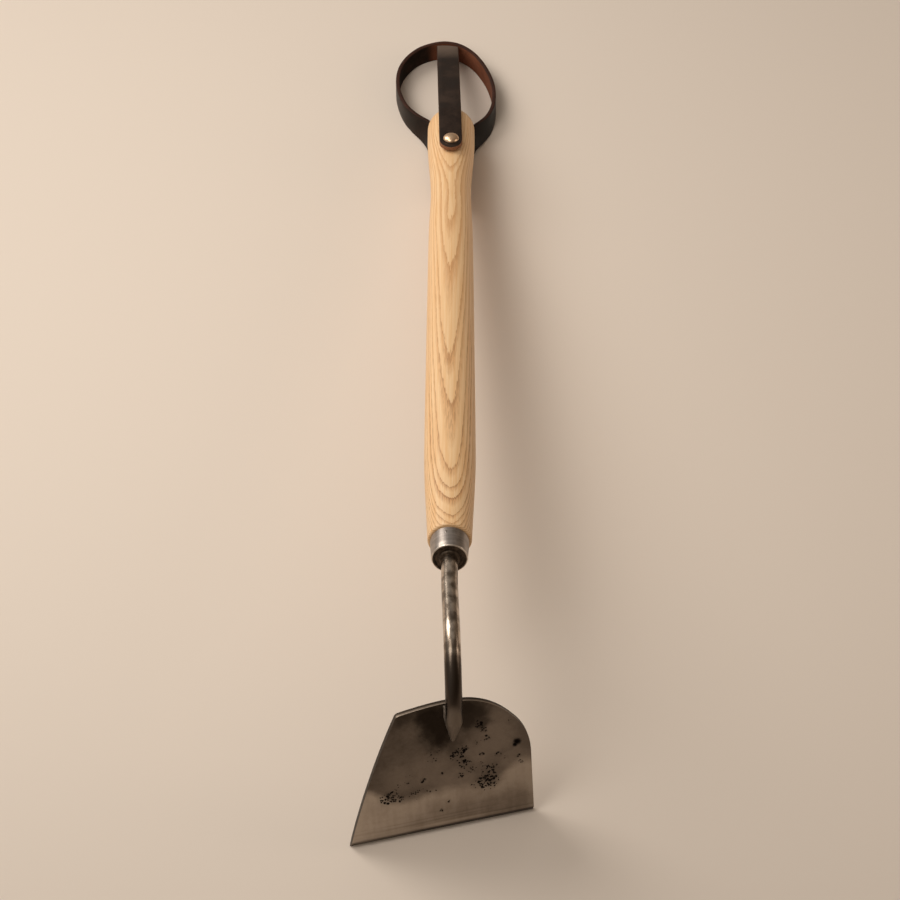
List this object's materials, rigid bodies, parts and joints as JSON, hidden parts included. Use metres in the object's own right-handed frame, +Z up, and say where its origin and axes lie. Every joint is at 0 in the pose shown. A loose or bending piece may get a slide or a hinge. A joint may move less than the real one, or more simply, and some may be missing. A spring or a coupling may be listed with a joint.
{
  "type": "hand hoe",
  "caption": "Short-handled forged hand hoe: welded trapezoid blade on a bent round neck, pinned steel ferrule, turned ash handle, riveted leather hanging loop.",
  "frame": {"origin": "on the blade's cutting edge, on the ground, straight under the handle's axis", "axes": "+Y from the blade along the handle to the hanging loop, +X to the right of someone looking along +Y, +Z up from the ground that the hoe rests on"},
  "size_m": [0.1154, 0.7272, 0.1318],
  "materials": {
    "forged_steel": "dark forged scale with brown tint, satin where it is ground",
    "bright_steel": "satin ground steel, a little dull",
    "ash_wood": "turned ash, oiled, with cathedral grain",
    "black_leather": "near-black grain side, brown flesh side and cut edges",
    "brass": "satin, slightly coppery"
  },
  "bodies": {
    "hoe": {"blade": "forged_steel", "neck": "forged_steel", "blade_weld": "bright_steel", "neck_weld": "bright_steel", "ferrule": "bright_steel", "ferrule_disc": "forged_steel", "ferrule_pin": "bright_steel", "handle": "ash_wood", "butt_rivet": "brass", "butt_rivet_burr": "brass"},
    "loop": {"front_strap": "black_leather", "hanging_loop": "black_leather", "loop_rivet": "brass", "loop_rivet_burr": "brass"}
  },
  "joints": [
    {"name": "loop_swing", "type": "hinge", "parent": "hoe", "child": "loop", "pos_m": [0, 0.55829, 0.03273], "axis": [0, 0.1857, 0.9826], "range_deg": [-8, 8]}
  ]
}
